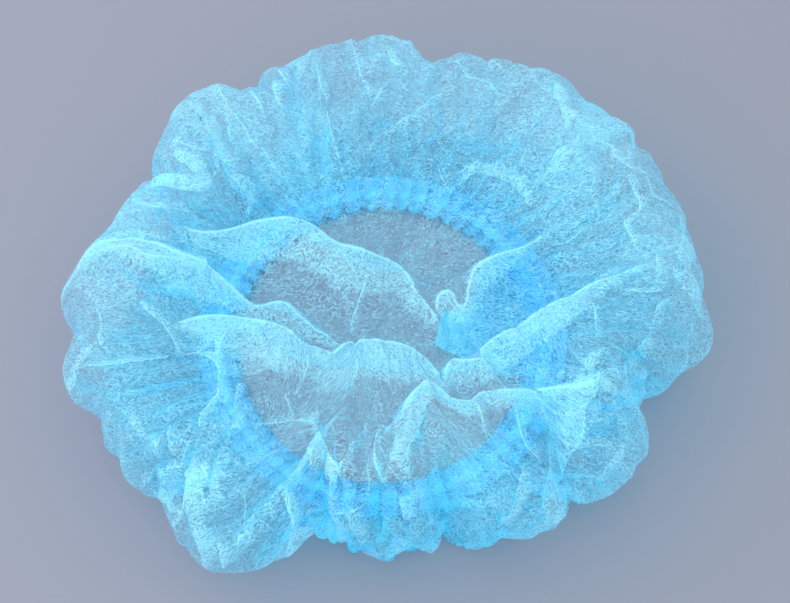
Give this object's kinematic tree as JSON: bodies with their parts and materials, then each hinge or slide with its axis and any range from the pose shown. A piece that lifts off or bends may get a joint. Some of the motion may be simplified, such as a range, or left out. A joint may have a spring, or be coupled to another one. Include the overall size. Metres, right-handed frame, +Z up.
{
  "type": "disposable hairnet",
  "caption": "Bouffant hair cap of thin blue nonwoven cloth, gathered by an elastic in its hem, lying crown up with a sagging, folded middle.",
  "frame": {"origin": "bottom centre of the cap's box, on the surface that the cap lies on", "axes": "+X to the cap's right as seen from the front, its widest way; +Y to the back; +Z up, out of the crown"},
  "size_m": [0.278, 0.262, 0.068],
  "materials": {
    "spunbond_cloth": "thin translucent spunbond nonwoven, matt",
    "hem_cloth": "two layers of the same nonwoven, matt",
    "lap_cloth": "overlapped layers of the same nonwoven, matt",
    "elastic": "white elastic tape, matt"
  },
  "bodies": {
    "root": {"cap_cloth": "spunbond_cloth", "hem_casing": "hem_cloth", "hem_lap": "lap_cloth", "elastic_band": "elastic"}
  },
  "joints": []
}
